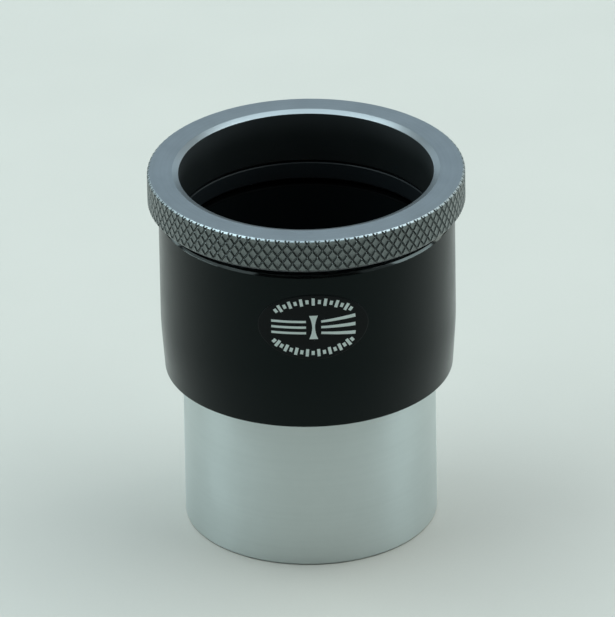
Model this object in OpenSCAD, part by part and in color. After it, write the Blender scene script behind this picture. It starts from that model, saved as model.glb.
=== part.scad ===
// Two-inch telescope barlow lens with a twist-lock eyepiece socket.
// The optical axis is Z. The origin is the centre of the nose barrel's open end, which faces the telescope.
// Every round piece is turned about Z from a profile of [radius, height] points.

/* [Nose barrel] */
// Outside diameter of the nose barrel, the 2 inch format
barrel_d = 50.8; // [50.7:0.05:50.9]
// Length of barrel below the housing
barrel_exposed = 33.25; // [31:0.25:36]
// Inside diameter of the barrel above its thread
barrel_bore_d = 47.2; // [46.8:0.1:47.4]
// Outside diameter of the filter thread, M48 x 0.75
filter_thread_d = 48; // [47.8:0.05:48.2]
// Length of the filter thread at the open end
filter_thread_length = 5.4; // [4.5:0.1:5.6]
// Width of the relief groove between the filter thread and the lens cell's thread
thread_relief = 0.8; // [0.6:0.1:1]
// Length of the lens cell's thread above that groove
cell_thread_length = 7.5; // [6.5:0.1:8.5]

/* [Housing] */
// Largest outside diameter of the housing
housing_d = 59.26; // [58.6:0.02:60]
// Diameter at the foot of the housing's taper
housing_foot_d = 57.88; // [57.4:0.02:58.5]
// Height of the tapered part of the housing
taper_height = 9.95; // [6:0.05:14]
// Height of the whole housing
housing_height = 34.15; // [33.8:0.05:34.5]
// Bevel at the housing's top edge
housing_bevel = 0.5; // [0.2:0.05:0.7]
// Bore that an eyepiece barrel slides into
socket_d = 51; // [50.9:0.05:51.2]
// Inside diameter of the stop that an eyepiece barrel rests on
stop_d = 46.6; // [45:0.1:47]
// Thickness of that stop
stop_thickness = 1.5; // [1:0.1:2]

/* [Lock ring] */
// Outside diameter of the knurled band
ring_d = 63.5; // [62.8:0.1:64]
// Height of the knurled band
ring_band = 6.95; // [6:0.05:8]
// Open gap between the band and the housing when released
ring_gap = 1.85; // [1.6:0.05:2.2]
// Outside diameter of the lock ring's thread
ring_thread_d = 56; // [55.8:0.1:56.4]
// How far the thread reaches below the housing's top face
ring_engagement = 2.35; // [2.2:0.05:2.5]
// Width of the shallow lead-in chamfer at the mouth of the socket
mouth_width = 1.3; // [0.6:0.1:1.6]
// Depth of that chamfer
mouth_depth = 0.47; // [0.3:0.01:0.6]
// Axial travel from released to locked, one turn of the thread
ring_lead = 1; // [0.5:0.05:1.2]

/* [Collet] */
// Height of the split collet
collet_height = 3.8; // [3.4:0.1:4]
// Width of the split
collet_split = 3; // [2:0.1:4]
// Direction of the split, in degrees about Z
collet_split_angle = -60; // [-80:5:80]
// Angle between the seat's cone and the axis
seat_angle = 16; // [12:1:18]
// Thickness of the slip washer
washer_thickness = 0.3; // [0.2:0.05:0.4]

/* [Lenses] */
// Diameter of both lens elements
lens_d = 43; // [42:0.2:43.2]
// Radius of the curved lens surfaces
lens_radius = 48.4; // [46:0.2:56]
// Air gap between the elements
air_gap = 0.15; // [0.1:0.01:0.2]
// Thickness of the flint element at its rim
flint_rim = 2; // [1.8:0.1:2.4]
// Thickness of the crown element at its centre
crown_centre = 2.2; // [2:0.1:2.6]
// Width of the flat bevel round the crown element's concave faces
crown_bevel = 0.9; // [0.6:0.1:1.2]

/* [Badge] */
// Width of the oval badge, straight across
badge_width = 21.9; // [16:0.1:24]
// Height of the oval badge
badge_height = 14.4; // [10:0.1:16]
// Height of the badge's centre above the barrel's open end
badge_z = 56.1; // [53:0.1:58]
// Direction of the badge from the front, in degrees about Z
badge_angle = 1.9; // [-10:0.1:10]
// Thickness of the badge
badge_thickness = 0.15; // [0.1:0.01:0.2]

/* [Hidden] */
$fn = 180;

// Clearances: between a thread and its mate that turns, between faces that meet, and round a fixed thread
running = 0.05;
skin = 0.02;
fixed = 0.05;
edge = 0.3;

// Barrel
barrel_r = barrel_d / 2;
barrel_bore_r = barrel_bore_d / 2;
filter_r = filter_thread_d / 2;
relief_r = filter_r + 0.25;
cell_recess = filter_thread_length + thread_relief;
cell_thread_top = cell_recess + cell_thread_length;
joint_thread_r = barrel_r - 0.4;
joint_length = 8.2;
joint_seat_z = barrel_exposed + barrel_r - joint_thread_r;

// Housing levels
housing_z = barrel_exposed;
taper_z = housing_z + taper_height;
housing_top = housing_z + housing_height;
housing_r = housing_d / 2;
foot_r = housing_foot_d / 2;
socket_r = socket_d / 2;
stop_r = stop_d / 2;
stop_z = housing_z + joint_length + fixed;
stop_top = stop_z + stop_thickness;

// Lock ring levels
ring_r = ring_d / 2;
ring_thread_r = ring_thread_d / 2;
band_z = housing_top + ring_gap;
ring_top = band_z + ring_band;
ring_end = housing_top - ring_engagement;
neck_r = ring_thread_r - 0.6;
neck_z = band_z - 0.95;
lip_width = 0.45;
lip_depth = 0.31;

// Slip washer and collet levels
washer_top = ring_end - skin;
washer_z = washer_top - washer_thickness;
collet_top = washer_z - skin;
collet_z = collet_top - collet_height;
collet_bore_r = socket_r + 0.05;

// Cone seat: it keeps the collet's lower edge clear of its floor over the whole travel
seat_floor = collet_z - 1.2 * ring_lead;
seat_top = ring_end - 1.4 * ring_lead;
seat_floor_r = socket_r + 0.95;
function seat_r(z) = seat_floor_r + (z - seat_floor) * tan(seat_angle);

// Lens doublet: the flint's crown and the crown's hollow share one centre, an air gap apart
lens_r = lens_d / 2;
retainer_r = lens_r + 1.05;
retainer_height = 2.1;
retainer_z = cell_recess + 0.7;
cushion_r = 0.5;
flint_z = retainer_z + retainer_height + 2 * cushion_r;
flint_radius = lens_radius - air_gap;
function drop(radius, r) = sqrt(radius * radius - r * r);
flint_centre = flint_z + flint_rim - drop(flint_radius, lens_r);
hollow_r = lens_r - crown_bevel;
crown_z = flint_centre + drop(lens_radius, hollow_r);
crown_upper_centre = flint_centre + lens_radius + crown_centre + lens_radius;
crown_top = crown_upper_centre - drop(lens_radius, hollow_r);
cell_top = crown_top + 1.8;
aperture_r = hollow_r - 0.2;

// Foil tabs between the elements
tab_count = 3;
tab_r = 1.1;
tab_place_r = hollow_r - tab_r - 0.2;

// Badge outline
badge_points = 72;
function oval(width, height, n) =
    [for (i = [0:n - 1]) [width / 2 * cos(360 * i / n), height / 2 * sin(360 * i / n)]];

module turned(profile) {
    rotate_extrude() polygon(profile);
}

// Body: a shell with the ring's thread and cone seat above, the socket in the middle, the barrel's thread below
module housing() {
    color("#0f1315") turned([
        [barrel_r + fixed, housing_z],
        [foot_r, housing_z],
        [housing_r, taper_z],
        [housing_r, housing_top - housing_bevel],
        [housing_r - housing_bevel, housing_top],
        [ring_thread_r + running, housing_top],
        [ring_thread_r + running, seat_top],
        [seat_r(seat_top), seat_top],
        [seat_floor_r, seat_floor],
        [socket_r + edge, seat_floor],
        [socket_r, seat_floor - edge],
        [socket_r, stop_top],
        [stop_r, stop_top],
        [stop_r, stop_z],
        [joint_thread_r + fixed, stop_z],
        [joint_thread_r + fixed, joint_seat_z]
    ]);
}

// Ring that is turned by hand: knurled band, neck, threaded skirt, and the mouth of the socket
module lock_ring() {
    color("#4d5958") turned([
        [socket_r, ring_end + edge],
        [socket_r + edge, ring_end],
        [ring_thread_r - edge, ring_end],
        [ring_thread_r, ring_end + edge],
        [ring_thread_r, neck_z],
        [neck_r, neck_z],
        [neck_r, band_z],
        [ring_r - 2 * edge, band_z],
        [ring_r, band_z + 2 * edge],
        [ring_r, ring_top - lip_depth],
        [ring_r - lip_width, ring_top],
        [socket_r + mouth_width, ring_top],
        [socket_r, ring_top - mouth_depth]
    ]);
}

// Flat washer that lets the ring turn on the collet
module slip_washer() {
    color("#20201f") translate([0, 0, washer_z]) difference() {
        cylinder(h = washer_thickness, r = ring_thread_r - 0.15);
        translate([0, 0, -1]) cylinder(h = washer_thickness + 2, r = socket_r + 0.75);
    }
}

// Split ring that closes on the eyepiece barrel as it is pushed down its cone
module collet() {
    shoulder_z = seat_top - edge;
    color("#1c2022") difference() {
        turned([
            [collet_bore_r, collet_z + edge],
            [collet_bore_r + edge, collet_z],
            [seat_r(collet_z) - skin, collet_z],
            [seat_r(shoulder_z) - skin, shoulder_z],
            [seat_r(shoulder_z) - skin, collet_top],
            [collet_bore_r + edge, collet_top],
            [collet_bore_r, collet_top - edge]
        ]);
        rotate([0, 0, collet_split_angle])
            translate([0, -collet_split / 2, collet_z - 1])
                cube([housing_r, collet_split, collet_height + 2]);
    }
}

// Two-inch barrel: threaded inside at its open end, and outside where it screws into the housing's conical seat
module nose_barrel() {
    color("#b9bbb8") turned([
        [filter_r + edge, 0],
        [barrel_r - edge, 0],
        [barrel_r, edge],
        [barrel_r, housing_z],
        [joint_thread_r, joint_seat_z],
        [joint_thread_r, housing_z + joint_length - edge],
        [joint_thread_r - edge, housing_z + joint_length],
        [barrel_bore_r, housing_z + joint_length],
        [barrel_bore_r, cell_thread_top],
        [filter_r, cell_thread_top],
        [filter_r, cell_recess],
        [relief_r, cell_recess],
        [relief_r, filter_thread_length],
        [filter_r, filter_thread_length],
        [filter_r, edge]
    ]);
}

// Cell that screws into the barrel and holds the two elements against its upper lip
module lens_cell() {
    color("#15181a") turned([
        [retainer_r, cell_recess],
        [filter_r - fixed, cell_recess],
        [filter_r - fixed, cell_thread_top - 0.6],
        [barrel_bore_r - 0.2, cell_thread_top - 0.1],
        [barrel_bore_r - 0.2, cell_top],
        [aperture_r + 1.2, cell_top],
        [aperture_r, crown_top + 0.6],
        [aperture_r, crown_top + skin],
        [lens_r + fixed, crown_top + skin],
        [lens_r + fixed, retainer_z + retainer_height],
        [retainer_r, retainer_z + retainer_height]
    ]);
}

// Lower element, flat towards the telescope and bulging upwards
module flint_lens() {
    color("#9fc7b8", 0.4) intersection() {
        translate([0, 0, flint_z]) cylinder(h = lens_radius, r = lens_r);
        translate([0, 0, flint_centre]) sphere(r = flint_radius);
    }
}

// Upper element, hollow on both faces
module crown_lens() {
    color("#a9cfc4", 0.4) difference() {
        translate([0, 0, crown_z]) cylinder(h = crown_top - crown_z, r = lens_r);
        translate([0, 0, flint_centre]) sphere(r = lens_radius);
        translate([0, 0, crown_upper_centre]) sphere(r = lens_radius);
    }
}

// One of the foil tabs that hold the elements apart
module foil_tab(i) {
    color("#c9cbc9") intersection() {
        difference() {
            translate([0, 0, flint_centre]) sphere(r = lens_radius - 0.01);
            translate([0, 0, flint_centre]) sphere(r = flint_radius + 0.01);
        }
        rotate([0, 0, 360 * i / tab_count])
            translate([tab_place_r, 0, flint_z])
                cylinder(h = lens_radius, r = tab_r);
    }
}

// Soft ring between the retainer and the flint element
module cushion_ring() {
    color("#17181a") translate([0, 0, flint_z - cushion_r])
        rotate_extrude() translate([lens_r - cushion_r, 0]) circle(r = cushion_r - skin, $fn = 48);
}

// Threaded ring with two slots for a spanner
module lens_retainer() {
    slot_width = 1.6;
    slot_depth = 1.1;
    color("#1d2022") difference() {
        turned([
            [aperture_r + 0.7, retainer_z],
            [retainer_r - fixed, retainer_z],
            [retainer_r - fixed, retainer_z + retainer_height - skin],
            [aperture_r, retainer_z + retainer_height - skin],
            [aperture_r, retainer_z + 0.8]
        ]);
        translate([-lens_r - 2, -slot_width / 2, retainer_z - 1])
            cube([2 * lens_r + 4, slot_width, slot_depth + 1]);
    }
}

// Knife-edged glare stop pressed into the top of the barrel
module baffle_ring() {
    baffle_z = housing_z + 3.6;
    baffle_height = 2.6;
    knife_r = barrel_bore_r - 2;
    color("#101214") turned([
        [knife_r, baffle_z],
        [barrel_bore_r - skin, baffle_z],
        [barrel_bore_r - skin, baffle_z + baffle_height],
        [barrel_bore_r - 0.8, baffle_z + baffle_height],
        [barrel_bore_r - 0.8, baffle_z + 0.8],
        [knife_r, baffle_z + 0.15]
    ]);
}

// Oval label bent round the front of the housing
module badge() {
    color("#23282a") rotate([0, 0, badge_angle]) intersection() {
        translate([0, 0, taper_z]) difference() {
            cylinder(h = housing_top - taper_z, r = housing_r + badge_thickness);
            translate([0, 0, -1]) cylinder(h = housing_height, r = housing_r);
        }
        translate([0, 0, badge_z])
            rotate([90, 0, 0])
                linear_extrude(height = 2 * housing_r)
                    polygon(oval(badge_width, badge_height, badge_points));
    }
}

housing();
lock_ring();
slip_washer();
collet();
nose_barrel();
lens_cell();
flint_lens();
crown_lens();
foil_tab(0);  // foil_tab_1
foil_tab(1);  // foil_tab_2
foil_tab(2);  // foil_tab_3
cushion_ring();
lens_retainer();
baffle_ring();
badge();
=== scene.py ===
"""Looks of the two-inch barlow with a twist-lock eyepiece socket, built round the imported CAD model.

Lengths are in millimetres until a mesh is made, which is in metres. The optical axis is Z, and the front
is -Y. A piece turned on a lathe is an outline of (radius, height, edge rounding) corners swept about Z.
"""
import math

import bmesh
import bpy
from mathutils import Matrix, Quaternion, Vector


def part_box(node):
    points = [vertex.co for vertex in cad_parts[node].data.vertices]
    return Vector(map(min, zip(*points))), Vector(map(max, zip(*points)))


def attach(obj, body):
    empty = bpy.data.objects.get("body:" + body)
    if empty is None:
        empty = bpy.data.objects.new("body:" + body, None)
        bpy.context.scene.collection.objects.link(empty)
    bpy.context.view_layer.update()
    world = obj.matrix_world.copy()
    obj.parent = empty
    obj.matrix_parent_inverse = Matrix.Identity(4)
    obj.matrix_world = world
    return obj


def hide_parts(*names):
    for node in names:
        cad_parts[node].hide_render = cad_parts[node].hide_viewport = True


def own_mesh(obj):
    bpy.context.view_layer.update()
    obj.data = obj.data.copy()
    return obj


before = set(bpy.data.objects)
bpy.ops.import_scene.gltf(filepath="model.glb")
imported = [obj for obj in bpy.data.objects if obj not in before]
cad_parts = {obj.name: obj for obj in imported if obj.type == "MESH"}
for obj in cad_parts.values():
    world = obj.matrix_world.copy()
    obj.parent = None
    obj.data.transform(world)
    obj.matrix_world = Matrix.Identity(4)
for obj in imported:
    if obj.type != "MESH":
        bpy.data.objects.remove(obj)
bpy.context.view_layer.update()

MM = 0.001
TURN = 2 * math.pi

# ---------------------------------------------------------------- sizes


def span(node):
    """(outside radius, lowest height, highest height) of a round CAD node."""
    low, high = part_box(node)
    return max(high.x, high.y) / MM, low.z / MM, high.z / MM


RING_R, RING_END, RING_TOP = span("lock_ring")
HOUSING_R, HOUSING_Z, HOUSING_TOP = span("housing")
BARREL_R, BARREL_TOP = span("nose_barrel")[::2]
COLLET_Z, COLLET_TOP = span("collet")[1:]
CELL_R, CELL_Z, CELL_TOP = span("lens_cell")
RETAINER_R, RETAINER_TOP = span("lens_retainer")[::2]
LENS_R, FLINT_Z, FLINT_TOP = span("flint_lens")
CROWN_Z, CROWN_TOP = span("crown_lens")[1:]

EDGE = 0.3                       # usual chamfer
SLIP = 0.05                      # clearance round a thread
THREAD_DEPTH = 0.4               # of the joint's and the cell's threads
RELIEF = 0.05                    # a plain face beside a thread lies this far behind its root

# Lock ring
BAND = 6.95                      # height of the knurled band
BAND_Z = RING_TOP - BAND
SOCKET_R = 25.5                  # bore that takes the eyepiece barrel
RING_THREAD_R = 28.0
RING_THREAD_PITCH = 1.0
RING_THREAD_DEPTH = 0.5
RING_TRAVEL = 1.0
NECK_R = RING_THREAD_R - 0.6
NECK_Z = BAND_Z - 0.95
MOUTH_WIDTH = 1.3                # shallow lead-in chamfer at the mouth of the socket
MOUTH_DEPTH = 0.47
LIP_WIDTH = 0.45                 # chamfer at the top of the knurl
LIP_DEPTH = 0.31
FACE_R = RING_R - 1.2            # the knurl's grooves stay outside this radius

# Housing
TAPER_Z = HOUSING_Z + 9.95       # the housing narrows below this height
FOOT_R = 28.94
HOUSING_BEVEL = 0.5
SEAT_FLOOR = COLLET_Z - 1.2 * RING_TRAVEL
SEAT_TOP = RING_END - 1.4 * RING_TRAVEL
SEAT_FLOOR_R = SOCKET_R + 0.95
SEAT_LEAN = math.tan(math.radians(16))
STOP_R = 23.3                    # stop that the eyepiece barrel rests on
STOP_Z = BARREL_TOP + SLIP
STOP_TOP = STOP_Z + 1.5

# Barrel: joint thread at its top, filter thread M48 x 0.75 at its open end
JOINT_R = 25.0
JOINT_SEAT_Z = HOUSING_Z + BARREL_R - JOINT_R
JOINT_PITCH = 0.75
BARREL_BORE_R = 23.6
FILTER_R = 24.0
FILTER_CREST_R = 23.62
FILTER_PITCH = 0.75
FILTER_TOP = 5.4
RELIEF_R = 24.25
CELL_THREAD_TOP = CELL_Z + 7.5

# Lenses
HOLLOW_RADIUS = 48.4             # of the sphere of each of the crown lens's two hollows
AIR_GAP = 0.15
CROWN_THICK = 2.2                # on the axis
HOLLOW_R = LENS_R - 0.9          # rim of the hollows
APERTURE_R = HOLLOW_R - 0.2
DOME_RADIUS = HOLLOW_RADIUS - AIR_GAP  # of the sphere of the flint lens's dome
FLINT_RIM = 2.0                  # height of the flint lens's rim

# Badge
BADGE_ANGLE = math.radians(1.9)  # direction of its middle, from the front
BADGE_Z = 56.1                   # height of its middle
BADGE_W, BADGE_H = 21.9, 14.4
BADGE_THICK = 0.15
BADGE_EDGE = ((1.0, 0.55), (0.9965, 0.7), (0.988, 0.85))  # shares of the oval and of the thickness
BADGE_FACE = 0.985               # share of the oval that is flat
INK = 0.025                      # thickness of the print
SCALE_W, SCALE_H = 18.8, 11.4    # oval that the printed dashes follow
DASHES = ((15, 38, 142), (17, 214, 324))  # above and below: number, and degrees of the first and the last
RAY_GAP = 1.25                   # between the printed rays, which spread on the right
RAY_SPREAD = 1.9

SEGMENTS = 256                   # round a turned piece

# ---------------------------------------------------------------- mesh helpers


def new_object(name, bm, materials, body, *nodes, slot):
    """A finished piece from a bmesh in millimetres: smooth, with hard edges kept, riding on a body."""
    bmesh.ops.remove_doubles(bm, verts=bm.verts, dist=0.0005)
    bmesh.ops.dissolve_degenerate(bm, edges=bm.edges, dist=0.0002)
    bmesh.ops.recalc_face_normals(bm, faces=bm.faces)
    for face in bm.faces:
        face.smooth = True
    for edge in bm.edges:
        if len(edge.link_faces) == 2 and edge.calc_face_angle() > math.radians(28):
            edge.smooth = False
    bmesh.ops.scale(bm, vec=(MM, MM, MM), verts=bm.verts)
    mesh = bpy.data.meshes.new(name)
    bm.to_mesh(mesh)
    bm.free()
    for made in materials:
        mesh.materials.append(made)
    piece = bpy.data.objects.new(name, mesh)
    bpy.context.scene.collection.objects.link(piece)
    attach(piece, body)
    if nodes:
        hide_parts(*nodes)
    return piece


def rounded(corners, closed=False, steps=4):
    """The outline with each corner of (radius, height, rounding) turned into a short curve."""
    outline = []
    last = len(corners) - 1
    for i, (r, z, rounding) in enumerate(corners):
        here = Vector((r, z))
        if not rounding or (not closed and i in (0, last)):
            outline.append(here)
            continue
        before = Vector(corners[i - 1][:2]) - here
        after = Vector(corners[(i + 1) % len(corners)][:2]) - here
        start = here + before.normalized() * min(rounding, before.length * 0.45)
        end = here + after.normalized() * min(rounding, after.length * 0.45)
        for k in range(steps + 1):
            t = k / steps
            outline.append(start * (1 - t) ** 2 + here * 2 * t * (1 - t) + end * t * t)
    return outline


def on_drum(angle, r, z):
    """The point at an angle from the front, a radius and a height."""
    return (r * math.sin(angle), -r * math.cos(angle), z)


def sweep(bm, outline, closed=False, start=0.0, arc=TURN, segments=SEGMENTS, slot=None):
    """Sweeps an outline about Z, all the way round or along an arc. slot(r, z) picks a face's material."""
    whole = abs(arc - TURN) < 1e-9
    columns = segments if whole else segments + 1
    rings = []
    for j in range(columns):
        angle = start + arc * j / segments
        rings.append([bm.verts.new(on_drum(angle, p.x, p.y)) for p in outline])
    last = len(outline) if closed else len(outline) - 1
    for j in range(segments):
        here, there = rings[j], rings[(j + 1) % columns]
        for i in range(last):
            k = (i + 1) % len(outline)
            face = bm.faces.new((here[i], there[i], there[k], here[k]))
            if slot:
                middle = (outline[i] + outline[k]) / 2
                face.material_index = slot(middle.x, middle.y)
    if closed and not whole:
        bm.faces.new(rings[0])
        bm.faces.new(list(reversed(rings[-1])))


def join(bm, part):
    """Moves a bmesh into another one."""
    carrier = bpy.data.meshes.new("carrier")
    part.to_mesh(carrier)
    part.free()
    bm.from_mesh(carrier)
    bpy.data.meshes.remove(carrier)


def ledge(bm, z, r_low, r_high, material_index=0, reach=0.002):
    """Closes the flat ring between the open edges at one height, from one radius to another."""
    rim = []
    for edge in bm.edges:
        if len(edge.link_faces) > 1:
            continue
        if all(abs(v.co.z - z) < reach and r_low < v.co.xy.length < r_high for v in edge.verts):
            rim.append(edge)
    made = bmesh.ops.triangle_fill(bm, use_beauty=True, use_dissolve=False, edges=rim)
    for item in made["geom"]:
        if isinstance(item, bmesh.types.BMFace):
            item.material_index = material_index


def cut_level(bm, height, side):
    """Cuts a bmesh at a height. side -1 drops what is below, 1 what is above, and 0 keeps both."""
    geometry = bm.verts[:] + bm.edges[:] + bm.faces[:]
    bmesh.ops.bisect_plane(bm, geom=geometry, dist=1e-5, plane_co=(0, 0, height), plane_no=(0, 0, 1),
                           clear_inner=side < 0, clear_outer=side > 0)


THREAD_SHAPE = (0, 0, 0.5, 1, 1, 1, 0.5, 0)  # from root to crest and back, over one pitch


def thread(bm, low, high, r_crest, r_root, pitch, segments=144, material_index=0):
    """Helical vee thread between two heights, cut flat at its ends."""
    rows = len(THREAD_SHAPE)
    steps = (math.ceil((high - low) / pitch) + 2) * rows
    part = bmesh.new()
    grid = []
    for j in range(segments + 1):
        column = []
        for k in range(steps + 1):
            r = r_root + (r_crest - r_root) * THREAD_SHAPE[k % rows]
            z = low + pitch * (k / rows + j / segments - 1)
            column.append(part.verts.new(on_drum(TURN * j / segments, r, z)))
        grid.append(column)
    for here, there in zip(grid, grid[1:]):
        for k in range(steps):
            face = part.faces.new((here[k], there[k], there[k + 1], here[k + 1]))
            face.material_index = material_index
    bmesh.ops.remove_doubles(part, verts=part.verts, dist=0.0005)
    cut_level(part, low, -1)
    cut_level(part, high, 1)
    join(bm, part)


# ---------------------------------------------------------------- knurl

STARTS = 100                     # grooves each way round the band
HELIX = math.radians(35.7)       # lean of the grooves from the axis
GROOVE_DEPTHS = (0.36, 0.30)     # of the two families of grooves
GROOVE_HALF = 0.14               # half of a groove's width, as a share of the pitch
BURR = 0.06                      # how far a diamond's middle lies below the burrs along its edges
BURR_WIDTH = 0.10                # as a share of the pitch
KNURL_FOOT = 2 * EDGE            # chamfer at the foot of the knurl
# Phases at which the mesh has its lines: a groove's bottom and edge, the burr, and the diamond's middle
HALF_STOPS = (0, 0.02, GROOVE_HALF, GROOVE_HALF + BURR_WIDTH / 4, GROOVE_HALF + BURR_WIDTH, 0.5)
GROOVE_STOPS = HALF_STOPS + tuple(1 - t for t in reversed(HALF_STOPS[:-1]))


def groove(t, depth):
    """Depth of a vee groove with a narrow flat bottom, at a phase t. Whole numbers are groove bottoms."""
    near = abs(t - round(t))
    return depth * min(1.0, 1.15 * (1 - near / GROOVE_HALF)) if near < GROOVE_HALF else 0.0


def burr(t):
    """How much of the burr along a groove's edge stands at a phase t."""
    near = abs(t - round(t))
    return max(0.0, min(1.0, 1 - (near - GROOVE_HALF) / BURR_WIDTH))


def knurled_band(bm):
    """Diamonds between two crossed families of helical grooves, cut off by a chamfer at each end.

    The diamonds are laid out flat, with one groove each way for every whole step along X, and then rolled
    round the band.
    """
    pitch = TURN * RING_R / STARTS
    rise = pitch / math.tan(HELIX)
    middle = BAND / 2
    reach = math.ceil(BAND / rise / 2) + 1
    flat = bmesh.new()
    for total in range(2 * STARTS):
        for difference in range(-reach, reach + 1):
            if (total + difference) % 2:
                continue
            i, j = (total + difference) // 2, (total - difference) // 2
            grid = []
            for a in GROOVE_STOPS:
                p = i + a
                grid.append([flat.verts.new(((p + j + b) / 2, 0, (p - j - b) / 2 * rise + middle))
                             for b in GROOVE_STOPS])
            for low, high in zip(grid, grid[1:]):
                for k in range(len(GROOVE_STOPS) - 1):
                    flat.faces.new((low[k], high[k], high[k + 1], low[k + 1]))
    cut_level(flat, 0, -1)
    cut_level(flat, BAND, 1)
    for k in range(1, 5):
        cut_level(flat, KNURL_FOOT * k / 4, 0)
        cut_level(flat, BAND - LIP_DEPTH * k / 4, 0)
    copies = {}
    on_chamfer = set()
    for vert in flat.verts:
        u, z = vert.co.x, vert.co.z
        p = u + (z - middle) / rise
        q = u - (z - middle) / rise
        r_knurl = RING_R - max(groove(p, GROOVE_DEPTHS[0]), groove(q, GROOVE_DEPTHS[1]))
        r_knurl -= BURR * (1 - max(burr(p), burr(q)))
        r_chamfer = min(RING_R - LIP_WIDTH + (BAND - z) * LIP_WIDTH / LIP_DEPTH, RING_R - KNURL_FOOT + z)
        copies[vert] = bm.verts.new(on_drum(u * TURN / STARTS, min(r_knurl, r_chamfer), BAND_Z + z))
        if r_chamfer <= r_knurl:
            on_chamfer.add(vert)
    for face in flat.faces:
        copy = bm.faces.new([copies[v] for v in face.verts])
        if all(v in on_chamfer for v in face.verts):
            copy.material_index = 3 if face.verts[0].co.z > middle else 1
    flat.free()
    bmesh.ops.remove_doubles(bm, verts=bm.verts, dist=0.0008)


# ---------------------------------------------------------------- material helpers


def material(name, color, roughness, metallic=0.0, **sockets):
    """A Principled material, as (material, node tree, shader)."""
    made = bpy.data.materials.new(name)
    made.use_nodes = True
    made.diffuse_color = (*color, 1)
    shader = made.node_tree.nodes["Principled BSDF"]
    shader.inputs["Base Color"].default_value = (*color, 1)
    shader.inputs["Roughness"].default_value = roughness
    shader.inputs["Metallic"].default_value = metallic
    for key, value in sockets.items():
        shader.inputs[key.replace("_", " ")].default_value = value
    return made, made.node_tree, shader


def put(tree, socket, value):
    """Links or sets a socket."""
    if isinstance(value, bpy.types.NodeSocket):
        tree.links.new(value, socket)
    else:
        socket.default_value = value


def calc(tree, operation, a, b=0.0, clamp=False):
    """One step of arithmetic."""
    made = tree.nodes.new("ShaderNodeMath")
    made.operation = operation
    made.use_clamp = clamp
    put(tree, made.inputs[0], a)
    put(tree, made.inputs[1], b)
    return made.outputs[0]


def fade(tree, value, start, end, low=0.0, high=1.0):
    """Goes smoothly from low to high while the value goes from start to end."""
    made = tree.nodes.new("ShaderNodeMapRange")
    made.interpolation_type = "SMOOTHSTEP"
    put(tree, made.inputs["Value"], value)
    put(tree, made.inputs["From Min"], start)
    put(tree, made.inputs["From Max"], end)
    put(tree, made.inputs["To Min"], low)
    put(tree, made.inputs["To Max"], high)
    return made.outputs["Result"]


def blend_colors(tree, share, a, b):
    """Mixes two colours."""
    made = tree.nodes.new("ShaderNodeMix")
    made.data_type = "RGBA"
    put(tree, made.inputs[0], share)
    put(tree, made.inputs[6], a if isinstance(a, bpy.types.NodeSocket) else (*a, 1))
    put(tree, made.inputs[7], b if isinstance(b, bpy.types.NodeSocket) else (*b, 1))
    return made.outputs[2]


def place(tree):
    """(position, radius, height) of a point of the surface, in millimetres from the barrel's open end."""
    coordinates = tree.nodes.new("ShaderNodeTexCoord")
    scaled = tree.nodes.new("ShaderNodeVectorMath")
    scaled.operation = "SCALE"
    tree.links.new(coordinates.outputs["Object"], scaled.inputs[0])
    scaled.inputs["Scale"].default_value = 1 / MM
    parts = tree.nodes.new("ShaderNodeSeparateXYZ")
    tree.links.new(scaled.outputs[0], parts.inputs[0])
    across = calc(tree, "MULTIPLY", parts.outputs[0], parts.outputs[0])
    along = calc(tree, "MULTIPLY", parts.outputs[1], parts.outputs[1])
    radius = calc(tree, "SQRT", calc(tree, "ADD", across, along))
    return scaled.outputs[0], radius, parts.outputs[2]


def lathe_place(tree, radius, height, position, drift=0.004):
    """Coordinates that hardly change round the axis, for marks left by turning."""
    made = tree.nodes.new("ShaderNodeCombineXYZ")
    parts = tree.nodes.new("ShaderNodeSeparateXYZ")
    tree.links.new(position, parts.inputs[0])
    put(tree, made.inputs[0], calc(tree, "ADD", radius, calc(tree, "MULTIPLY", parts.outputs[0], drift)))
    put(tree, made.inputs[1], calc(tree, "MULTIPLY", parts.outputs[1], drift))
    put(tree, made.inputs[2], height)
    return made.outputs[0]


def noise(tree, position, size, detail=3.0, roughness=0.55):
    """Noise whose features are about this size in millimetres."""
    made = tree.nodes.new("ShaderNodeTexNoise")
    put(tree, made.inputs["Vector"], position)
    made.inputs["Scale"].default_value = 1 / size
    made.inputs["Detail"].default_value = detail
    made.inputs["Roughness"].default_value = roughness
    return made.outputs["Fac"]


def round_axis_tangent(tree, shader):
    """Makes anisotropy follow the turning lines."""
    made = tree.nodes.new("ShaderNodeTangent")
    made.direction_type = "RADIAL"
    made.axis = "Z"
    tree.links.new(made.outputs[0], shader.inputs["Tangent"])


def bump(tree, shader, *layers):
    """Stacks layers of (height, depth in millimetres) into the shader's normal."""
    normal = None
    for height, depth in layers:
        made = tree.nodes.new("ShaderNodeBump")
        made.inputs["Distance"].default_value = depth * MM
        put(tree, made.inputs["Height"], height)
        if normal:
            tree.links.new(normal, made.inputs["Normal"])
        normal = made.outputs["Normal"]
    tree.links.new(normal, shader.inputs["Normal"])


# ---------------------------------------------------------------- materials

KNURL_GREY = (0.150, 0.172, 0.168)
# KNURL_DARK is the knurl's darker grain, and also the painted shade down in its grooves.
KNURL_DARK = (0.020, 0.025, 0.025)
KNURL_WORN = (0.26, 0.29, 0.28)
TURNED_GREY = (0.235, 0.250, 0.260)
FLOOR_COLOR = (0.54, 0.51, 0.463)


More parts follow.
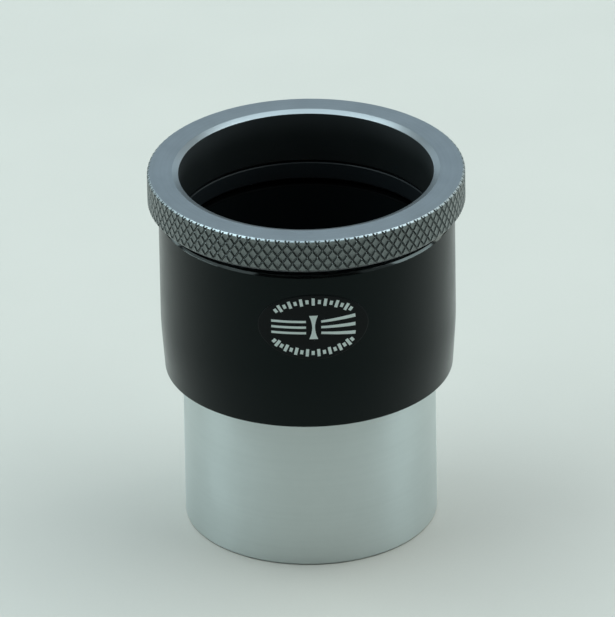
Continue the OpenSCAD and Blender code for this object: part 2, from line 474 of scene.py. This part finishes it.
def knurl_metal():
    """Dark grey anodised knurl: painted shade down in the grooves, and the crests rubbed a little brighter.
    """
    made, tree, shader = material("ring_knurl", KNURL_GREY, 0.5, 0.9, Coat_Weight=1.0, Coat_Roughness=0.26,
                                  Coat_IOR=1.5)
    position, radius = place(tree)[:2]
    depth = calc(tree, "SUBTRACT", RING_R, radius)
    grain = noise(tree, position, 0.16, 4)
    patches = noise(tree, position, 5.0, 3)
    # Painted shade: the grooves go darker with depth, for the shade that falls in them.
    groove_shade = fade(tree, depth, 0.24, 0.38, 0.0, 0.9)
    rubbed = calc(tree, "MULTIPLY", fade(tree, depth, 0.035, 0.0), fade(tree, patches, 0.42, 0.75))
    rubbed = calc(tree, "MULTIPLY", rubbed, fade(tree, grain, 0.35, 0.7))
    color = blend_colors(tree, calc(tree, "MULTIPLY", rubbed, 0.5), KNURL_GREY, KNURL_WORN)
    color = blend_colors(tree, fade(tree, grain, 0.3, 0.75, 0.0, 0.28), color, KNURL_DARK)
    put(tree, shader.inputs["Base Color"], blend_colors(tree, groove_shade, color, KNURL_DARK))
    put(tree, shader.inputs["Roughness"], fade(tree, grain, 0.3, 0.7, 0.36, 0.52))
    bump(tree, shader, (grain, 0.02), (patches, 0.01))
    return made


def turned_metal(name, color, roughness, line=0.09, depth=0.0016, metallic=0.9, mottle=0.12):
    """Metal faced or turned on a lathe: fine lines round the axis, and a faint unevenness."""
    made, tree, shader = material(name, color, roughness, metallic, Anisotropic=0.5,
                                  Anisotropic_Rotation=0.25)
    round_axis_tangent(tree, shader)
    position, radius, height = place(tree)
    round_axis = lathe_place(tree, radius, height, position)
    lines = noise(tree, round_axis, line, 2, 0.6)
    bands = noise(tree, round_axis, 9 * line, 2, 0.5)
    patches = noise(tree, position, 6.0, 4)
    darker = tuple(c * (1 - 2 * mottle) for c in color)
    lighter = tuple(min(1.0, c * (1 + mottle)) for c in color)
    share = calc(tree, "ADD", calc(tree, "MULTIPLY", lines, 0.35), calc(tree, "MULTIPLY", patches, 0.65))
    put(tree, shader.inputs["Base Color"], blend_colors(tree, fade(tree, share, 0.3, 0.7), darker, lighter))
    put(tree, shader.inputs["Roughness"], fade(tree, bands, 0.3, 0.7, roughness * 0.9, roughness * 1.1))
    bump(tree, shader, (lines, depth), (bands, depth), (patches, depth))
    return made


def coated(name, color, lighter, roughness, ior, grain_size=0.12, depth=0.004, rub=0.3, tint=(1, 1, 1),
           painted_light_z=None, painted_light_color=None):
    """Dark coating with a fine blasted grain, a few lighter rubbed marks, and faint cloudy gloss.

    Between the two heights given in its second-last argument, its colour goes over to the colour given in
    the last one: painted light that brightens a bore towards its mouth, where light falls in.
    """
    made, tree, shader = material(name, color, roughness, IOR=ior, Specular_Tint=(*tint, 1))
    position, height = place(tree)[::2]
    grain = noise(tree, position, grain_size, 3)
    clouds = noise(tree, position, 8.0, 4)
    marks = calc(tree, "MULTIPLY", fade(tree, noise(tree, position, 1.1, 5, 0.7), 0.62, 0.72), rub)
    share = calc(tree, "ADD", fade(tree, grain, 0.35, 0.75, 0.0, 0.35), marks, clamp=True)
    base = blend_colors(tree, share, color, lighter)
    # Painted light: lighter towards the upper of the two heights.
    if painted_light_color:
        base = blend_colors(tree, fade(tree, height, *painted_light_z), base, painted_light_color)
    put(tree, shader.inputs["Base Color"], base)
    put(tree, shader.inputs["Roughness"], fade(tree, clouds, 0.3, 0.7, roughness * 0.9, roughness * 1.12))
    bump(tree, shader, (grain, depth), (clouds, depth * 2))
    return made


def barrel_metal():
    """Satin barrel: fine turning lines round the axis, a fine grain, and faint cloudy smears."""
    made, tree, shader = material("barrel_satin", (0.62, 0.675, 0.67), 0.4, 1.0, Anisotropic=0.7,
                                  Anisotropic_Rotation=0.25)
    round_axis_tangent(tree, shader)
    position, radius, height = place(tree)
    round_axis = lathe_place(tree, radius, height, position)
    lines = noise(tree, round_axis, 0.1, 2, 0.6)
    bands = noise(tree, round_axis, 1.4, 3, 0.5)
    smears = noise(tree, position, 9.0, 4)
    grain = noise(tree, position, 0.22, 3, 0.6)
    share = calc(tree, "ADD", calc(tree, "MULTIPLY", bands, 0.35), calc(tree, "MULTIPLY", smears, 0.45))
    share = calc(tree, "ADD", share, calc(tree, "MULTIPLY", grain, 0.2))
    color = blend_colors(tree, fade(tree, share, 0.35, 0.65), (0.60, 0.655, 0.65), (0.64, 0.695, 0.69))
    put(tree, shader.inputs["Base Color"], color)
    put(tree, shader.inputs["Roughness"], fade(tree, share, 0.35, 0.65, 0.37, 0.42))
    bump(tree, shader, (lines, 0.0010), (bands, 0.0012), (smears, 0.005), (grain, 0.0012))
    return made


def lens_glass(name, ior, tint, film):
    """Coated optical glass with a few specks of dust."""
    made, tree, shader = material(name, tint, 0.01, IOR=ior, Transmission_Weight=1.0,
                                  Thin_Film_Thickness=film, Thin_Film_IOR=1.38)
    position = place(tree)[0]
    dust = fade(tree, noise(tree, position, 0.5, 5, 0.7), 0.7, 0.78)
    haze = fade(tree, noise(tree, position, 12.0, 3), 0.3, 0.8, 0.004, 0.03)
    color = blend_colors(tree, calc(tree, "MULTIPLY", dust, 0.4), tint, (0.6, 0.6, 0.58))
    put(tree, shader.inputs["Base Color"], color)
    put(tree, shader.inputs["Roughness"], calc(tree, "ADD", calc(tree, "MULTIPLY", dust, 0.25), haze))
    return made


def foil_metal():
    """Thin crinkled foil."""
    made, tree, shader = material("foil", (0.8, 0.8, 0.78), 0.25, 1.0)
    position = place(tree)[0]
    crinkle = noise(tree, position, 0.5, 4, 0.6)
    put(tree, shader.inputs["Base Color"], blend_colors(tree, crinkle, (0.7, 0.7, 0.68), (0.86, 0.86, 0.84)))
    put(tree, shader.inputs["Roughness"], fade(tree, crinkle, 0.3, 0.7, 0.2, 0.35))
    bump(tree, shader, (crinkle, 0.02))
    return made


def paper():
    """Pale card that the object stands on."""
    made, tree, shader = material("floor_paper", FLOOR_COLOR, 0.85, IOR=1.3)
    position = place(tree)[0]
    fibres = noise(tree, position, 0.6, 4, 0.6)
    clouds = noise(tree, position, 45.0, 3)
    share = calc(tree, "ADD", calc(tree, "MULTIPLY", fibres, 0.4), calc(tree, "MULTIPLY", clouds, 0.6))
    low = tuple(c * 0.985 for c in FLOOR_COLOR)
    high = tuple(c * 1.012 for c in FLOOR_COLOR)
    put(tree, shader.inputs["Base Color"], blend_colors(tree, fade(tree, share, 0.35, 0.65), low, high))
    bump(tree, shader, (fibres, 0.01))
    return made


KNURL = knurl_metal()
RING_TURNED = turned_metal("ring_turned", TURNED_GREY, 0.36, mottle=0.04)
RING_LIP = turned_metal("ring_lip", (0.36, 0.40, 0.415), 0.42, mottle=0.05)
RING_MOUTH = turned_metal("ring_mouth", (0.28, 0.295, 0.30), 0.33, mottle=0.03)
# The ring's bore is painted lighter towards its mouth, for the light that falls into it.
RING_BORE_BLACK = coated("ring_bore_black", (0.012, 0.015, 0.015), (0.022, 0.026, 0.026), 0.42, 1.5,
                         painted_light_z=(RING_TOP - 6.0, RING_TOP - MOUTH_DEPTH), painted_light_color=(0.032, 0.036, 0.037))
SOCKET_BLACK = coated("socket_black", (0.0040, 0.0058, 0.0064), (0.008, 0.010, 0.0105), 0.5, 1.15)
HOUSING_BLACK = coated("housing_black", (0.0006, 0.0013, 0.0017), (0.0022, 0.0034, 0.0040), 0.24, 1.45,
                       tint=(0.24, 0.31, 0.30))
SEAT_BLACK = coated("seat_black", (0.0012, 0.0016, 0.0017), (0.0024, 0.0030, 0.0032), 0.6, 1.08)
BARE_BEVEL = turned_metal("bare_bevel", (0.17, 0.183, 0.178), 0.12, metallic=0.95, mottle=0.05)
BARREL_SATIN = barrel_metal()
CELL_BLACK = coated("cell_black", (0.012, 0.013, 0.015), (0.03, 0.033, 0.036), 0.5, 1.3, depth=0.003)
BAFFLE_BLACK = coated("baffle_black", (0.006, 0.006, 0.007), (0.014, 0.014, 0.015), 0.8, 1.2, 0.3, 0.02)
COLLET_ACETAL = coated("collet_acetal", (0.012, 0.015, 0.017), (0.024, 0.028, 0.031), 0.42, 1.3, 0.25, 0.003)
WASHER_NYLON = coated("washer_nylon", (0.016, 0.016, 0.016), (0.035, 0.035, 0.034), 0.55, 1.4, 0.3, 0.004)
CUSHION_RUBBER = coated("cushion_rubber", (0.010, 0.010, 0.010), (0.022, 0.022, 0.021), 0.7, 1.4, 0.2, 0.004)
FOIL = foil_metal()
FLINT_GLASS = lens_glass("flint_glass", 1.62, (0.97, 0.99, 0.98), 230.0)
CROWN_GLASS = lens_glass("crown_glass", 1.52, (0.97, 0.99, 0.98), 260.0)
BADGE_FILM = coated("badge_film", (0.0024, 0.0040, 0.0044), (0.006, 0.008, 0.009), 0.34, 1.22, 0.35, 0.002)
BADGE_INK = coated("badge_ink", (0.66, 0.74, 0.71), (0.80, 0.88, 0.85), 0.6, 1.3, 0.22, 0.003)

# ---------------------------------------------------------------- lock ring


def inside_slot(r, z):
    """Material of the ring's inner faces: the turned top, the mouth's chamfer or the black bore."""
    if z > RING_TOP - 0.01:
        return 1
    return 4 if z > RING_TOP - MOUTH_DEPTH else 2


def lock_ring():
    """Knurled band over a neck and a threaded skirt. Slots: knurl, turned faces, bore, lip, mouth."""
    bm = bmesh.new()
    knurled_band(bm)
    inside = rounded([
        (FACE_R, RING_TOP, 0),
        (SOCKET_R + MOUTH_WIDTH, RING_TOP, 0.03),
        (SOCKET_R, RING_TOP - MOUTH_DEPTH, 0.05),
        (SOCKET_R, RING_END + EDGE, 0.06),
        (SOCKET_R + EDGE, RING_END, 0.06),
        (RING_THREAD_R - 0.9, RING_END, 0),
    ])
    sweep(bm, inside, slot=inside_slot)
    thread(bm, RING_END, NECK_Z, RING_THREAD_R, RING_THREAD_R - RING_THREAD_DEPTH, RING_THREAD_PITCH,
           material_index=1)
    neck = rounded([
        (NECK_R, NECK_Z, 0),
        (NECK_R, BAND_Z, 0.1),
        (FACE_R, BAND_Z, 0),
    ])
    sweep(bm, neck, slot=lambda r, z: 1)
    ledge(bm, RING_TOP, FACE_R - 0.1, RING_R, 1)
    ledge(bm, BAND_Z, FACE_R - 0.1, RING_R, 1)
    ledge(bm, RING_END, RING_THREAD_R - 1.0, RING_THREAD_R + 0.1, 1)
    ledge(bm, NECK_Z, NECK_R - 0.01, RING_THREAD_R + 0.1, 1)
    return bm


new_object("lock_ring_knurled", lock_ring(), [KNURL, RING_TURNED, RING_BORE_BLACK, RING_LIP, RING_MOUTH],
           "twist_ring", "lock_ring", slot="ring_grey")

# ---------------------------------------------------------------- housing and barrel


def seat_r(z):
    """Radius of the cone that closes the collet."""
    return SEAT_FLOOR_R + (z - SEAT_FLOOR) * SEAT_LEAN


def housing():
    """Shell with the ring's thread, the cone seat, the socket, its stop, and the thread for the barrel.

    Slots: black coating, bare bevel at the top, socket, cone seat.
    """
    ring_root = RING_THREAD_R + RING_THREAD_DEPTH
    joint_root = JOINT_R + SLIP + THREAD_DEPTH
    ring_thread_z = SEAT_TOP + 0.4
    joint_low, joint_high = JOINT_SEAT_Z + 1.0, STOP_Z - 0.4
    outside = rounded([
        (ring_root + RELIEF, HOUSING_TOP, 0),
        (HOUSING_R - 0.55 * HOUSING_BEVEL, HOUSING_TOP, 0.05),
        (HOUSING_R, HOUSING_TOP - HOUSING_BEVEL, 0.05),
        (HOUSING_R, TAPER_Z, 2.5),
        (FOOT_R, HOUSING_Z, 0.22),
        (BARREL_R + SLIP, HOUSING_Z, 0.03),
        (JOINT_R + SLIP, JOINT_SEAT_Z, 0.05),
        (JOINT_R + SLIP, JOINT_SEAT_Z + 0.5, 0.05),
        (joint_root + RELIEF, JOINT_SEAT_Z + 0.7, 0.05),
        (joint_root + RELIEF, joint_low, 0),
    ])
    inside = rounded([
        (joint_root + RELIEF, joint_high, 0),
        (joint_root + RELIEF, STOP_Z, 0.05),
        (STOP_R, STOP_Z, 0.12),
        (STOP_R, STOP_TOP, 0.12),
        (SOCKET_R, STOP_TOP, 0.05),
        (SOCKET_R, SEAT_FLOOR - EDGE, 0.12),
        (SOCKET_R + EDGE, SEAT_FLOOR, 0.12),
        (SEAT_FLOOR_R, SEAT_FLOOR, 0.1),
        (seat_r(SEAT_TOP), SEAT_TOP, 0.05),
        (ring_root + RELIEF, SEAT_TOP, 0.05),
        (ring_root + RELIEF, ring_thread_z, 0),
    ])
    bm = bmesh.new()
    sweep(bm, outside, slot=lambda r, z: int(HOUSING_TOP - HOUSING_BEVEL < z < HOUSING_TOP - 0.01))
    sweep(bm, inside, slot=lambda r, z: 3 if SEAT_FLOOR - 1.2 * EDGE < z < SEAT_TOP - 0.01 else 2)
    thread(bm, joint_low, joint_high, JOINT_R + SLIP, joint_root, JOINT_PITCH, material_index=2)
    thread(bm, ring_thread_z, HOUSING_TOP, RING_THREAD_R + SLIP, ring_root, RING_THREAD_PITCH,
           material_index=2)
    ledge(bm, joint_low, JOINT_R, joint_root + 0.1, 2)
    ledge(bm, joint_high, JOINT_R, joint_root + 0.1, 2)
    ledge(bm, ring_thread_z, RING_THREAD_R, ring_root + 0.1, 2)
    ledge(bm, HOUSING_TOP, RING_THREAD_R, ring_root + 0.1, 0)
    return bm


def nose_barrel():
    """Two-inch barrel with its filter thread inside the open end and its joint thread on top."""
    joint_root = JOINT_R - THREAD_DEPTH
    joint_low, joint_high = JOINT_SEAT_Z + 0.9, BARREL_TOP - 0.4
    bore = rounded([
        (joint_root - RELIEF, joint_high, 0),
        (joint_root - RELIEF, BARREL_TOP, 0.1),
        (BARREL_BORE_R, BARREL_TOP, 0.1),
        (BARREL_BORE_R, CELL_THREAD_TOP, 0.05),
        (FILTER_R, CELL_THREAD_TOP, 0.05),
        (FILTER_R, CELL_Z, 0.03),
        (RELIEF_R, CELL_Z, 0.1),
        (RELIEF_R, FILTER_TOP, 0),
    ])
    outside = rounded([
        (FILTER_R + 0.03, EDGE, 0),
        (FILTER_R + EDGE, 0, 0.06),
        (BARREL_R - EDGE, 0, 0.08),
        (BARREL_R, EDGE, 0.12),
        (BARREL_R, HOUSING_Z, 0.05),
        (JOINT_R, JOINT_SEAT_Z, 0.05),
        (joint_root - RELIEF, JOINT_SEAT_Z + 0.3, 0.1),
        (joint_root - RELIEF, joint_low, 0),
    ])
    bm = bmesh.new()
    sweep(bm, bore, slot=lambda r, z: int(z > FILTER_TOP + 0.1 and r < RELIEF_R - 0.1))
    sweep(bm, outside)
    thread(bm, EDGE, FILTER_TOP, FILTER_CREST_R, FILTER_R, FILTER_PITCH)
    thread(bm, joint_low, joint_high, JOINT_R, joint_root, JOINT_PITCH)
    ledge(bm, EDGE, FILTER_CREST_R - 0.1, FILTER_R + 0.1)
    ledge(bm, FILTER_TOP, FILTER_CREST_R - 0.1, RELIEF_R + 0.1)
    ledge(bm, joint_low, joint_root - 0.1, JOINT_R + 0.1)
    ledge(bm, joint_high, joint_root - 0.1, JOINT_R + 0.1)
    return bm


new_object("housing_turned", housing(), [HOUSING_BLACK, BARE_BEVEL, SOCKET_BLACK, SEAT_BLACK],
           "tube_assembly", "housing", slot="housing_black")
new_object("nose_barrel_turned", nose_barrel(), [BARREL_SATIN, BAFFLE_BLACK], "tube_assembly", "nose_barrel",
           slot="barrel_satin")

# ---------------------------------------------------------------- collet and washer

SPLIT = 3.0                      # width of the gap in the collet
SPLIT_ANGLE = math.radians(30)   # direction of the gap, from the front


def collet():
    """Split ring whose outside matches the cone seat."""
    bore_r = SOCKET_R + SLIP
    shoulder_z = SEAT_TOP - EDGE
    outline = rounded([
        (bore_r, COLLET_Z + EDGE, 0.1),
        (bore_r + EDGE, COLLET_Z, 0.1),
        (seat_r(COLLET_Z) - 0.02, COLLET_Z, 0.1),
        (seat_r(shoulder_z) - 0.02, shoulder_z, 0.1),
        (seat_r(shoulder_z) - 0.02, COLLET_TOP, 0.12),
        (bore_r + EDGE / 2, COLLET_TOP, 0.05),
        (bore_r, COLLET_TOP - EDGE / 2, 0.05),
    ], closed=True)
    gap = SPLIT / bore_r
    bm = bmesh.new()
    sweep(bm, outline, closed=True, start=SPLIT_ANGLE + gap / 2, arc=TURN - gap)
    return bm


collet_piece = new_object("collet_split", collet(), [COLLET_ACETAL], "tube_assembly", "collet",
                          slot="collet_acetal")
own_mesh(collet_piece)

# ---------------------------------------------------------------- lens cell and lenses


def lens_cell():
    """Cell with its M48 thread below, a lip above, and a relieved top edge."""
    inside_r = LENS_R + SLIP
    thread_root = CELL_R - THREAD_DEPTH
    lower = rounded([
        (RETAINER_R + SLIP, CELL_Z, 0.05),
        (thread_root - RELIEF, CELL_Z, 0),
    ])
    upper = rounded([
        (thread_root - RELIEF, CELL_THREAD_TOP - 0.6, 0),
        (BARREL_BORE_R - 0.2, CELL_THREAD_TOP - 0.1, 0.1),
        (BARREL_BORE_R - 0.2, CELL_TOP, 0.15),
        (APERTURE_R + 1.2, CELL_TOP, 0.15),
        (APERTURE_R, CROWN_TOP + 0.6, 0.1),
        (APERTURE_R, CROWN_TOP + 0.02, 0.05),
        (inside_r, CROWN_TOP + 0.02, 0.05),
        (inside_r, RETAINER_TOP, 0.05),
        (RETAINER_R + SLIP, RETAINER_TOP, 0.05),
        (RETAINER_R + SLIP, CELL_Z, 0),
    ])
    bm = bmesh.new()
    sweep(bm, lower)
    sweep(bm, upper)
    thread(bm, CELL_Z, CELL_THREAD_TOP - 0.6, CELL_R, thread_root, FILTER_PITCH)
    ledge(bm, CELL_Z, thread_root - 0.1, CELL_R + 0.1)
    ledge(bm, CELL_THREAD_TOP - 0.6, thread_root - 0.1, CELL_R + 0.1)
    return bm


def curve_of(centre_z, radius, r_from, r_to, side, steps=40):
    """Points of a spherical surface between two distances from the axis. side is 1 above its centre."""
    points = []
    for k in range(steps + 1):
        r = r_from + (r_to - r_from) * k / steps
        points.append(Vector((r, centre_z + side * math.sqrt(radius ** 2 - r ** 2))))
    return points


def lens(outline):
    """A lens from its outline, which starts and ends on the axis."""
    bm = bmesh.new()
    sweep(bm, outline, segments=160)
    return bm


DOME_CENTRE = FLINT_TOP - DOME_RADIUS  # heights of the spheres' centres
HOLLOW_CENTRE = DOME_CENTRE + 2 * HOLLOW_RADIUS + CROWN_THICK
RIM_GRIND = 0.2                  # fine bevel ground on a lens's rim

flint_outline = rounded([
    (0, FLINT_Z, 0),
    (LENS_R - RIM_GRIND, FLINT_Z, 0.04),
    (LENS_R, FLINT_Z + RIM_GRIND, 0.04),
    (LENS_R, FLINT_Z + FLINT_RIM - RIM_GRIND, 0),
]) + curve_of(DOME_CENTRE, DOME_RADIUS, LENS_R - RIM_GRIND, 0, 1)
crown_outline = curve_of(DOME_CENTRE, HOLLOW_RADIUS, 0, HOLLOW_R, 1) + rounded([
    (HOLLOW_R + 0.05, CROWN_Z, 0),
    (LENS_R - RIM_GRIND, CROWN_Z, 0.04),
    (LENS_R, CROWN_Z + RIM_GRIND, 0.04),
    (LENS_R, CROWN_TOP - RIM_GRIND, 0.04),
    (LENS_R - RIM_GRIND, CROWN_TOP, 0.04),
    (HOLLOW_R + 0.05, CROWN_TOP, 0),
]) + curve_of(HOLLOW_CENTRE, HOLLOW_RADIUS, HOLLOW_R, 0, -1)

new_object("lens_cell_turned", lens_cell(), [CELL_BLACK], "tube_assembly", "lens_cell", slot="cell_black")
new_object("flint_lens_polished", lens(flint_outline), [FLINT_GLASS], "tube_assembly", "flint_lens",
           slot="lens_glass")
new_object("crown_lens_polished", lens(crown_outline), [CROWN_GLASS], "tube_assembly", "crown_lens",
           slot="lens_glass")

# ---------------------------------------------------------------- badge


def on_badge(x, z, lift):
    """The point over the badge's middle by (x, z) along its face, lifted off the housing."""
    angle = BADGE_ANGLE + math.asin(x / HOUSING_R)
    return on_drum(angle, HOUSING_R + lift, BADGE_Z + z)


def badge(rings=14, columns=96):
    """Oval film bent round the housing, with a soft edge."""
    back = [(k / rings, 0) for k in range(rings + 1)]
    face = [(BADGE_FACE * (rings - k) / rings, 1) for k in range(rings + 1)]
    bm = bmesh.new()
    loops = []
    for share, lift in (*back, *BADGE_EDGE, *face):
        loop = []
        for j in range(columns):
            turn = TURN * j / columns
            x = share * BADGE_W / 2 * math.cos(turn)
            z = share * BADGE_H / 2 * math.sin(turn)
            loop.append(bm.verts.new(on_badge(x, z, lift * BADGE_THICK)))
        loops.append(loop)
    for low, high in zip(loops, loops[1:]):
        for j in range(columns):
            k = (j + 1) % columns
            bm.faces.new((low[j], low[k], high[k], high[j]))
    return bm


def mark(bm, pairs):
    """One mark of the print: a strip between pairs of points, a little proud of the film."""
    top, foot = BADGE_THICK + INK, BADGE_THICK - 0.01
    rows = []
    for left, right in pairs:
        around = ((left, top), (right, top), (right, foot), (left, foot))
        rows.append([bm.verts.new(on_badge(x, z, lift)) for (x, z), lift in around])
    for here, there in zip(rows, rows[1:]):
        for i in range(4):
            k = (i + 1) % 4
            bm.faces.new((here[i], there[i], there[k], here[k]))
    bm.faces.new(rows[0])
    bm.faces.new(list(reversed(rows[-1])))


def bar(bm, start, end, width_start, width_end, steps):
    """Straight bar of the print, with cross-sections close enough to follow the housing."""
    along = Vector(end) - Vector(start)
    side = Vector((-along.y, along.x)).normalized()
    pairs = []
    for k in range(steps + 1):
        middle = Vector(start) + along * k / steps
        half = (width_start + (width_end - width_start) * k / steps) / 2
        pairs.append((middle + side * half, middle - side * half))
    mark(bm, pairs)


def badge_print():
    """Plain generic print: a scale of dashes above and below, and a lens that spreads three rays."""
    bm = bmesh.new()
    for count, low, high in DASHES:
        for i in range(count):
            t = math.radians(low + (high - low) * i / (count - 1))
            middle = Vector((SCALE_W / 2 * math.cos(t), SCALE_H / 2 * math.sin(t)))
            out = Vector((math.cos(t) / SCALE_W, math.sin(t) / SCALE_H)).normalized()
            reach = 0.8 if i % 2 else 0.45
            bar(bm, middle - out * reach, middle + out * reach, 0.62, 0.62, 1)
    for side in (-1, 1):
        for level in (-1, 0, 1):
            near = (side * 1.5, level * RAY_GAP)
            far = (side * 8.3, level * (RAY_GAP if side < 0 else RAY_SPREAD))
            bar(bm, near, far, 0.5, 0.5 if side < 0 else 0.75, 8)
    levels = [-2.6 + 0.65 * k for k in range(9)]
    mark(bm, [((-0.28 - 0.09 * z * z, z), (0.28 + 0.09 * z * z, z)) for z in levels])
    return bm


new_object("badge_film", badge(), [BADGE_FILM], "tube_assembly", "badge", slot="badge_film")
new_object("badge_print", badge_print(), [BADGE_INK], "tube_assembly", slot="badge_film")

# ---------------------------------------------------------------- CAD pieces that keep their shape

PLAIN = {
    "slip_washer": WASHER_NYLON,
    "cushion_ring": CUSHION_RUBBER,
    "lens_retainer": CELL_BLACK,
    "baffle_ring": BAFFLE_BLACK,
    "foil_tab_1": FOIL,
    "foil_tab_2": FOIL,
    "foil_tab_3": FOIL,
}
for name, made in PLAIN.items():
    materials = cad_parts[name].data.materials
    materials.clear()
    materials.append(made)

# ---------------------------------------------------------------- floor, light and camera

FLOOR_REACH = 4                  # metres from the middle to each edge
corners = [(-FLOOR_REACH, -FLOOR_REACH, 0), (FLOOR_REACH, -FLOOR_REACH, 0),
           (FLOOR_REACH, FLOOR_REACH, 0), (-FLOOR_REACH, FLOOR_REACH, 0)]
floor_mesh = bpy.data.meshes.new("floor")
floor_mesh.from_pydata(corners, [], [(0, 1, 2, 3)])
floor = bpy.data.objects.new("floor", floor_mesh)
bpy.context.scene.collection.objects.link(floor)
floor_mesh.materials.append(paper())


def softbox(name, elevation, azimuth, distance, width, height, radiance, color=(1, 1, 1)):
    """Soft light in a direction from the object: elevation in degrees, azimuth in degrees from the front."""
    light = bpy.data.lights.new(name, "AREA")
    light.shape = "RECTANGLE"
    light.size, light.size_y = width, height
    light.energy = radiance * math.pi * width * height
    light.color = color
    lamp = bpy.data.objects.new(name, light)
    up, turn = math.radians(elevation), math.radians(azimuth)
    away = Vector((math.cos(up) * math.sin(turn), -math.cos(up) * math.cos(turn), math.sin(up)))
    lamp.location = MIDDLE + away * distance
    lamp.rotation_euler = away.to_track_quat("Z", "Y").to_euler()
    lamp.visible_camera = False
    bpy.context.scene.collection.objects.link(lamp)


MIDDLE = Vector((0, 0, 0.040))   # of the object
SKY = (0.74, 0.915, 1.0)
COOL = (0.80, 0.965, 1.0)
BLUISH = (0.67, 0.87, 1.0)
NEUTRAL = (0.92, 1.0, 0.95)
WARMER = (0.87, 0.985, 1.0)
BACKDROP = (0.85, 0.96, 0.94)    # seen behind the floor, and lights nothing
BACKDROP_STRENGTH = 0.6

# Bright ceiling panels
softbox("ceiling", 76, 180, 1.2, 1.2, 1.1, 2.7, SKY)
softbox("ceiling_front", 66, 0, 1.2, 0.9, 0.4, 0.8, COOL)
softbox("ceiling_left", 55, -90, 1.3, 1.2, 0.7, 3.4, COOL)
softbox("ceiling_right", 55, 90, 1.3, 1.2, 0.7, 2.8, WARMER)

# Walls: pale behind and on the right, brighter low down at the sides, and dim on the left and in front
softbox("wall_back", 27, 180, 1.5, 1.6, 0.5, 1.2, BLUISH)
softbox("wall_left_back", 22, -130, 1.4, 1.0, 0.9, 1.0, COOL)
softbox("wall_right_back", 22, 130, 1.4, 1.0, 0.9, 1.1, NEUTRAL)
softbox("wall_left", 22, -88, 1.4, 0.9, 0.9, 0.3, COOL)
softbox("wall_right", 22, 88, 1.4, 0.9, 0.9, 1.1, COOL)
softbox("wall_left_low", 5, -86, 1.4, 0.8, 0.2, 3.2, COOL)
softbox("wall_right_low", 5, 86, 1.4, 0.8, 0.2, 1.8, COOL)
softbox("wall_left_front", 20, -55, 1.4, 0.6, 0.8, 0.3, COOL)
softbox("wall_right_front", 20, 55, 1.4, 0.6, 0.8, 0.1, COOL)

world = bpy.data.worlds.new("studio")
world.use_nodes = True
background = world.node_tree.nodes["Background"]
background.inputs["Color"].default_value = (*BACKDROP, 1)
rays = world.node_tree.nodes.new("ShaderNodeLightPath")
strength = calc(world.node_tree, "MULTIPLY", rays.outputs["Is Camera Ray"], BACKDROP_STRENGTH)
put(world.node_tree, background.inputs["Strength"], strength)
bpy.context.scene.world = world
bpy.context.scene.view_settings.view_transform = "Standard"

ELEVATION = math.radians(27.72)
DISTANCE = 2.314                 # from the camera to the middle of the object
AIM = Vector((-0.00016, 0, 0.04479))
ROLL = math.radians(0.951)
camera_data = bpy.data.cameras.new("camera")
camera_data.sensor_fit = "HORIZONTAL"
camera_data.sensor_width = 36
camera_data.lens = 674.4
camera_data.clip_end = 20
camera = bpy.data.objects.new("camera", camera_data)
bpy.context.scene.collection.objects.link(camera)
camera.location = MIDDLE + DISTANCE * Vector((0, -math.cos(ELEVATION), math.sin(ELEVATION)))
look = (AIM - camera.location).to_track_quat("-Z", "Y")
camera.rotation_mode = "QUATERNION"
camera.rotation_quaternion = look @ Quaternion((0, 0, 1), -ROLL)
bpy.context.scene.camera = camera
